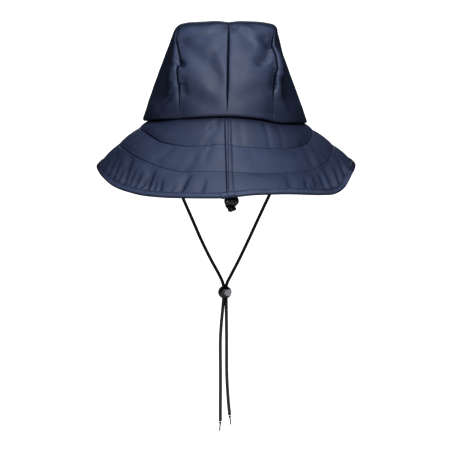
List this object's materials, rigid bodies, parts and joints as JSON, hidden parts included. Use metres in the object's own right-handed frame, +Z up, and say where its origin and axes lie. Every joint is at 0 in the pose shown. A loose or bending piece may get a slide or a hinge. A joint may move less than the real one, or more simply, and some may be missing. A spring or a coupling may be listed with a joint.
{
  "type": "fishing hat",
  "caption": "Coated rain hat of the sou'wester kind: panelled crown, long drooping quilted brim, bound edge, chin cord with a cord lock, drawcord at the back.",
  "frame": {"origin": "centre of the head opening, level with the seam between crown and brim", "axes": "+Z up, +Y towards the wearer's front, -Y towards the back that the picture shows, +X to the wearer's right"},
  "size_m": [0.2946, 0.3294, 0.4707],
  "materials": {
    "crown_cloth": "matte coated waterproof cloth, navy",
    "brim_cloth": "matte coated waterproof cloth, navy, quilted in two rows",
    "binding_cloth": "matte coated binding strip, navy",
    "casing_cloth": "plain woven tape, dark navy",
    "cord_braid": "braided black cord",
    "cord_end": "sealed black cord end",
    "lock_plastic": "glossy black moulded plastic",
    "button_plastic": "satin grey moulded plastic"
  },
  "bodies": {
    "hat": {"crown_centre_left": "crown_cloth", "crown_centre_right": "crown_cloth", "crown_side_left": "crown_cloth", "crown_side_right": "crown_cloth", "brim": "brim_cloth", "brim_binding": "binding_cloth", "drawcord_casing": "casing_cloth", "chin_cord_left": "cord_braid", "chin_cord_right": "cord_braid", "chin_cord_tip_left": "cord_end", "chin_cord_tip_right": "cord_end", "chin_lock_barrel": "lock_plastic", "drawcord_left": "cord_braid", "drawcord_right": "cord_braid", "drawcord_lock_barrel": "lock_plastic", "drawcord_knot": "cord_braid"},
    "chin_button": {"chin_lock_button": "button_plastic"},
    "drawcord_button": {"drawcord_lock_button": "lock_plastic"}
  },
  "joints": [
    {"name": "chin_lock_press", "type": "slide", "parent": "hat", "child": "chin_button", "axis": [-0.524, 0.8517, 0], "range_m": [0, 0.0024], "stiffness_N_per_m": 600, "springref_m": -0.002},
    {"name": "drawcord_lock_press", "type": "slide", "parent": "hat", "child": "drawcord_button", "axis": [-0.9397, 0.342, 0], "range_m": [0, 0.0024], "stiffness_N_per_m": 600, "springref_m": -0.002}
  ]
}
